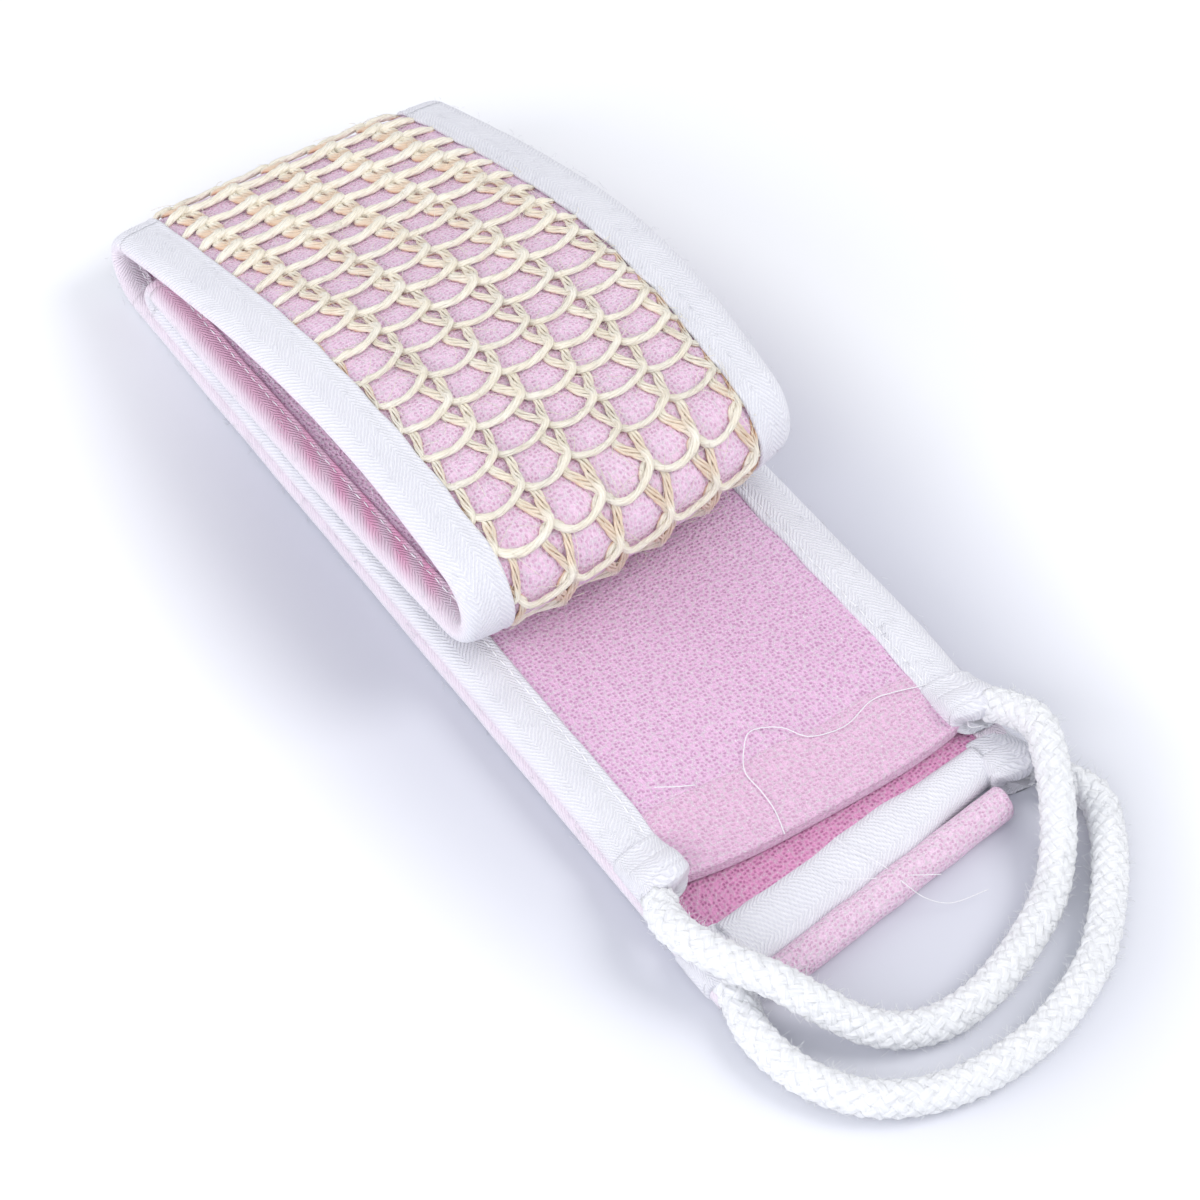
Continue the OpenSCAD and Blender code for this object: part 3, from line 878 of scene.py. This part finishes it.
def add_hairs(mesh, yarn, count, seed):
    """Stray fibres that lie on and stand off the netting."""
    loose = random.Random(seed)
    for _ in range(count):
        at = loose.randrange(len(yarn))
        s, y, h, _ = yarn[at]
        turn = loose.uniform(0, 2 * math.pi)
        reach = loose.uniform(2.5, 7.5) * MM
        t = np.linspace(0, 1, 7)
        bow = loose.uniform(-0.35, 0.35)
        ds = reach * (t * math.cos(turn) - bow * t * t * math.sin(turn))
        dy = reach * (t * math.sin(turn) + bow * t * t * math.cos(turn))
        lift = h + 0.7 * MM + loose.uniform(-0.5, 1.3) * MM * t
        hair_y = np.clip(y + dy, -NET_HALF_W, NET_HALF_W)
        path = on_strap(s + ds, hair_y, net_height(s + ds, hair_y) + np.maximum(lift, 0.2 * MM))
        thin_tube(mesh, path, strap_up(s + ds), 0.06 * MM, 3, 1.0, np.zeros((7, 3)))


def make_net(name, start, stop, material):
    mesh = Mesh()
    for row in range(NET_ROWS + 2):
        yarn = evenly(open_curve(row_yarn(row), 8), YARN_STEP)
        for part in inside_runs(yarn, start, stop):
            add_yarn(mesh, part, row * 0.37)
            add_hairs(mesh, part, max(1, len(part) // 7), row * 13 + len(part))
    return mesh.make(name, material)


# ---------------------------------------------------------------- ends of the strap

HEM_ROLL_D = 7.5 * MM
HEM_INSET = 2.2 * MM
TAPE_W = 11 * MM
HEM_FLAP_L = 20 * MM


def make_lower_tape(material):
    """Puffed tape sewn across the lower end, behind the rolled hem."""
    y = np.linspace(-INSIDE_HALF_W - 1 * MM, INSIDE_HALF_W + 1 * MM, 90)
    turn = np.linspace(0, 2 * math.pi, 28, endpoint=False)
    middle = HEM_INSET + HEM_ROLL_D + LAYER_GAP + TAPE_W / 2 + 0.7 * MM
    grid_y, angle = np.meshgrid(y, turn, indexing="ij")
    narrow = 1 - 0.3 * soft_step(grid_y, 8 * MM, 34 * MM)
    wide = (TAPE_W / 2 + 1.3 * MM) * narrow * (1 + 0.07 * ripple(grid_y, angle * MM, 16 * MM, 2))
    tall = 2.95 * MM * (1 + 0.09 * ripple(grid_y, angle * MM, 9 * MM, 8))
    s = middle + wide * blunt(np.cos(angle), 0.8)
    h = -0.15 * MM - tall * blunt(np.sin(angle), 0.7)
    h = h - 0.35 * MM * soft_step(np.abs(grid_y), 20 * MM, 34 * MM)
    mesh = Mesh()
    mesh.tube(on_strap(s, grid_y, h), y, np.linspace(0, 28 * MM, 29))
    return mesh.make("lower_end_tape_soft", material)


def make_hem_roll(material):
    """Fabric rolled up along the very end of the strap, open at both ends."""
    half = INSIDE_HALF_W - 1.5 * MM
    y = np.concatenate([[-half + 1.6 * MM, -half + 0.1 * MM, -half],
                        np.linspace(-half + 0.5 * MM, half - 0.5 * MM, 80),
                        [half, half - 0.1 * MM, half - 1.6 * MM]])
    wide = np.concatenate([[0.45, 0.6, 0.9], np.ones(80), [0.9, 0.6, 0.45]])
    turn = np.linspace(0, 2 * math.pi, 26, endpoint=False)
    grid_y, angle = np.meshgrid(y, turn, indexing="ij")
    r = HEM_ROLL_D / 2 * wide[:, None] * (1 + 0.05 * ripple(grid_y, angle * MM, 11 * MM, 4)
                                        - 0.07 * np.exp(-((angle - 4.2) / 0.16) ** 2))
    s = HEM_INSET + HEM_ROLL_D / 2 + r * np.cos(angle)
    h = -(HEM_ROLL_D / 2 - HALF_EDGE) + r * np.sin(angle) * 0.98
    mesh = Mesh()
    mesh.tube(on_strap(s, grid_y, h), y, np.linspace(0, math.pi * HEM_ROLL_D, 27))
    return mesh.make("lower_hem_roll_soft", material)


def make_hem_flap(material):
    """Fabric turned over the upper end's edge; its cut rear edge is pressed into the strap."""
    y = np.linspace(-INSIDE_HALF_W - 0.4 * MM, INSIDE_HALF_W + 0.4 * MM, 90)
    over = np.linspace(HEM_FLAP_L, 0, 18)
    turn = np.radians(np.linspace(75, -75, 9))
    flap_s = np.concatenate([END_AT - over, END_AT + 1.5 * MM * np.cos(turn), END_AT - over[::-1] * 0.4])
    face = HALF_PANEL + 0.3 * MM * soft_step(over, HEM_FLAP_L, HEM_FLAP_L - 2.5 * MM)
    face = face - 0.9 * MM * (over > HEM_FLAP_L - 0.1 * MM)
    flap_h = np.concatenate([face, 1.9 * MM * np.sin(turn), np.full(18, -HALF_PANEL - 0.3 * MM)])
    grid_y, s = np.meshgrid(y, flap_s, indexing="ij")
    crown = swell(grid_y) + 0.12 * MM * ripple(s, grid_y, 17 * MM, 5)
    on_face = (flap_h > HALF_PANEL - 1 * MM)[None, :]
    h = flap_h[None, :] + (crown + 0.14 * MM * ripple(s, grid_y, 6 * MM, 3)) * on_face
    s = s + 0.7 * MM * ripple(grid_y, 0, 14 * MM, 1) * soft_step(s, END_AT - 12 * MM, END_AT - 18 * MM)
    mesh = Mesh()
    round_it = lengths(np.stack([flap_s, flap_h], 1))
    mesh.tube(on_strap(s, grid_y, h), y, np.concatenate([round_it, [round_it[-1] + 4 * MM]]))
    return mesh.make("upper_hem_flap_soft", material)


def make_upper_tape(material):
    """Flat tape under the upper end's edge."""
    y = np.linspace(-INSIDE_HALF_W, INSIDE_HALF_W, 60)
    turn = np.linspace(0, 2 * math.pi, 20, endpoint=False)
    grid_y, angle = np.meshgrid(y, turn, indexing="ij")
    s = END_AT - 2 * MM - TAPE_W / 2 + TAPE_W / 2 * blunt(np.cos(angle), 0.5)
    h = -1.95 * MM + 0.5 * MM * np.sin(angle)
    mesh = Mesh()
    mesh.tube(on_strap(s, grid_y, h), y, np.linspace(0, 2 * TAPE_W, 21))
    return mesh.make("upper_end_tape_soft", material)


TAB_W = 12.6 * MM
TAB_H = 7.6 * MM
TAB_BACK = 13 * MM
TAB_OVERHANG = {"lower_tabs": (0.5 * MM, 0.5 * MM), "upper_tabs": (0.5 * MM, 3.2 * MM)}
LOWER_TABS = {"left": (0.1205, -0.0395, 0.0002), "right": (0.1125, 0.0395, 0.0002)}
UPPER_TABS = {"left": (0.0985, -0.0395, 0.0053), "right": (0.0955, 0.0395, 0.0053)}


def add_tab(mesh, place, lean, seed):
    """The tail of a binding, folded over the rope's end: low at the back, a rounded mouth in front."""
    run = np.concatenate([[0, 0.01, 0.03], np.linspace(0.07, 0.93, 30), [0.97, 1.0, 1.0, 0.98]])
    size = np.concatenate([[0.55, 0.8, 0.93], np.ones(30), [0.97, 0.88, 0.7, 0.5]])
    turn = np.linspace(0, 2 * math.pi, 40, endpoint=False)
    grid_t, angle = np.meshgrid(run, turn, indexing="ij")
    size = size[:, None] * (1 + 0.03 * ripple(grid_t * MM, angle * MM, 0.9 * MM, seed))
    crease = 1
    for at, depth in ((0.42, 0.06), (0.78, 0.04)):
        crease = crease - depth * np.exp(-((grid_t - at) / 0.03) ** 2)
    tall = TAB_H * (0.62 + 0.38 * soft_step(grid_t, 0.1, 0.75)) * size * crease
    wide = TAB_W * (0.94 + 0.06 * soft_step(grid_t, 0.1, 0.6)) * size / 2
    y = wide * blunt(np.cos(angle), 0.6)
    z = tall * (0.5 + 0.5 * blunt(np.sin(angle), 0.75))
    x = (grid_t - 1) * TAB_BACK + lean * y - 0.8 * MM * np.cos(angle * 2) * (grid_t > 0.9)
    rings = np.stack([place[0] + x, place[1] + y, place[2] + z], -1)
    mesh.tube(rings, run * TAB_BACK, np.linspace(0, 36 * MM, 41))


def make_tabs(name, places, material):
    mesh = Mesh()
    for side, lean, over, seed in zip(("left", "right"), (-0.12, 0.12), TAB_OVERHANG[name], (1, 2)):
        x, y, z = places[side]
        add_tab(mesh, (x + over, y, z), lean, seed)
    return mesh.make(name, material)


# Loose threads on the upper end: (length back from the end, place across, height) in millimetres
LOOSE_THREADS = [
    [(13, 36, 2.9), (16, 28, 3.2), (17, 22.6, 3.0), (15, 14.6, 2.9), (16.7, 6.6, 3.1), (21.6, 2.7, 3.2),
     (24.2, -3, 3.0), (21.5, -6.7, 2.9), (16.6, -9.9, 3.0), (11, -9.8, 3.0), (5.7, -10.2, 2.9),
     (-0.3, -12, 2.6)],
    [(23.3, -28, 2.9), (20.9, -24.4, 3.3), (19.2, -20.4, 3.0)],
    [(-5, -3, -1.8), (-10, -2, -0.6), (-15.3, 0.3, -0.6), (-20, 1, 0.3), (-23.5, 1.4, 0.3), (-27, 4, -4),
     (-29.7, 8.6, -7.2), (-31.3, 16.6, -7.3)],
    [(-14, -9, -0.6), (-17.5, -4, -0.5), (-21, 2, 0.4), (-25, 9, -0.4)],
    [(8, 33, 2.8), (6, 36, 3.8), (1, 38, 4.2), (-2, 36, 3.5), (-4, 39, 2.5)],
]


def make_loose_threads(material):
    mesh = Mesh()
    for number, route in enumerate(LOOSE_THREADS):
        line = curve_through(np.array(route) * MM, 0.8 * MM)
        s, y, h = END_AT - line[:, 0], line[:, 1], line[:, 2]
        path = on_strap(np.minimum(s, END_AT), y, h)
        path[:, 0] += np.maximum(s - END_AT, 0)
        thin_tube(mesh, path, np.tile((0, 0, 1.0), (len(path), 1)), (0.13 if number < 2 else 0.09) * MM, 5)
    return mesh.make("loose_threads", material)


# ---------------------------------------------------------------- putting it together

make_camera()
make_studio()

rope_white = rope_material()
for name, (route, hold_x, free_x) in ROPES.items():
    make_rope(name, route, rope_white)

pink_knit = knit_material("pink_knit", (0.83, 0.55, 0.77, 1), (0.52, 0.19, 0.42, 1), 0.5, 0.9)
net_knit = knit_material("net_knit", (0.88, 0.67, 0.83, 1), (0.62, 0.27, 0.48, 1), 0.46, 1.0)
pale_knit = knit_material("pale_knit", (0.81, 0.54, 0.73, 1), (0.6, 0.26, 0.46, 1), 0.32, 0.9)
# The lower run's knit is darker pink partly as painted shade, where it lies in shadow under the upper run,
# and partly because its knit is more open with stronger pinholes.
shaded_open_knit = knit_material("shaded_open_knit", (0.77, 0.34, 0.58, 1), (0.42, 0.1, 0.27, 1), 0.65, 0.5)
twill = twill_material()
sisal = sisal_material()
thread = thread_material()

PANEL_START = HEM_ROLL_D + LAYER_GAP + TAPE_W - 3 * MM
LOWER_LEFT_START = TIP_X - LOWER_TABS["left"][0] + 3 * MM
LOWER_RIGHT_START = TIP_X - LOWER_TABS["right"][0] - 4 * MM

RUNS = {
    "lower": (PANEL_START, REAR_AT, "strap_base"),
    "rear_bend": (REAR_AT, TOP_AT, None),
    "flap": (TOP_AT, INNER_BEND_AT, "flap"),
    "inner_bend": (INNER_BEND_AT, UPPER_AT, None),
    "upper": (UPPER_AT, END_AT, "strap_base"),
}
RUN_KNIT = {"lower": shaded_open_knit, "rear_bend": net_knit, "flap": net_knit, "inner_bend": pink_knit,
            "upper": pink_knit}
LAYERS = ("face_fabric", "padding", "back_fabric")
STANDS_FOR = {
    "lower": [f"lower_{layer}" for layer in LAYERS],
    "rear_bend": ["rear_bend_fabric"],
    "flap": [f"{run}_{layer}" for run in ("top", "inner") for layer in LAYERS]
            + ["front_bend_fabric", "front_bend_padding", "front_bend_lining"],
    "inner_bend": ["inner_bend_fabric"],
    "upper": [f"upper_{layer}" for layer in LAYERS],
}


def hold(piece, run, nodes=()):
    """Rides a piece on its body; a fold's piece stays fixed where it is."""
    if nodes:
        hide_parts(*nodes)
    if run == "rear_bend":
        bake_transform(piece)
    elif run == "inner_bend":
        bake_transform(piece)
    else:
        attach(piece, RUNS[run][2])


def binding_nodes(run, side):
    parts = ("top", "front_bend", "inner") if run == "flap" else (run,)
    return [f"{part}_{side}_binding" for part in parts]


for run, (start, stop, _) in RUNS.items():
    bends = run.endswith("_bend")
    panel = make_panel(f"{run}_panel", start, stop, RUN_KNIT[run], BEND_STEP if bends else PANEL_STEP)
    hold(panel, run, STANDS_FOR[run])
    for side_name, side in (("left", -1), ("right", 1)):
        first = start
        if run == "lower":
            first = LOWER_LEFT_START if side < 0 else LOWER_RIGHT_START
        last = stop - 2 * MM if run == "upper" else stop
        tape_step = BEND_STEP if bends else TAPE_STEP
        tape = make_binding(f"{run}_{side_name}_tape", side, first, last, twill, tape_step)
        hold(tape, run, binding_nodes(run, side_name))
    sewn_to = stop - 6 * MM if run == "upper" else stop
    hold(make_stitching(f"{run}_stitching", max(start, 18 * MM), sewn_to, thread), run)

hold(make_net("flap_net", TOP_AT, INNER_BEND_AT - 4 * MM, sisal), "flap",
     ["top_net", "front_bend_net", "inner_net"])
hold(make_net("rear_net", REAR_AT, TOP_AT, sisal), "rear_bend", ["rear_bend_net"])

hold(make_lower_tape(twill), "lower", ["lower_end_tape"])
hold(make_hem_roll(net_knit), "lower", ["lower_hem_roll"])
hold(make_hem_flap(pale_knit), "upper", ["upper_hem_flap"])
hold(make_upper_tape(twill), "upper", ["upper_end_tape"])
hold(make_tabs("lower_tabs", LOWER_TABS, twill), "lower", ["lower_rope_tabs"])
hold(make_tabs("upper_tabs", UPPER_TABS, twill), "upper", ["upper_rope_tabs"])
hold(make_loose_threads(thread), "upper")

bpy.ops.mesh.primitive_plane_add(size=6)
floor = bpy.context.active_object
floor.name = "floor"
floor.data.materials.append(floor_material())
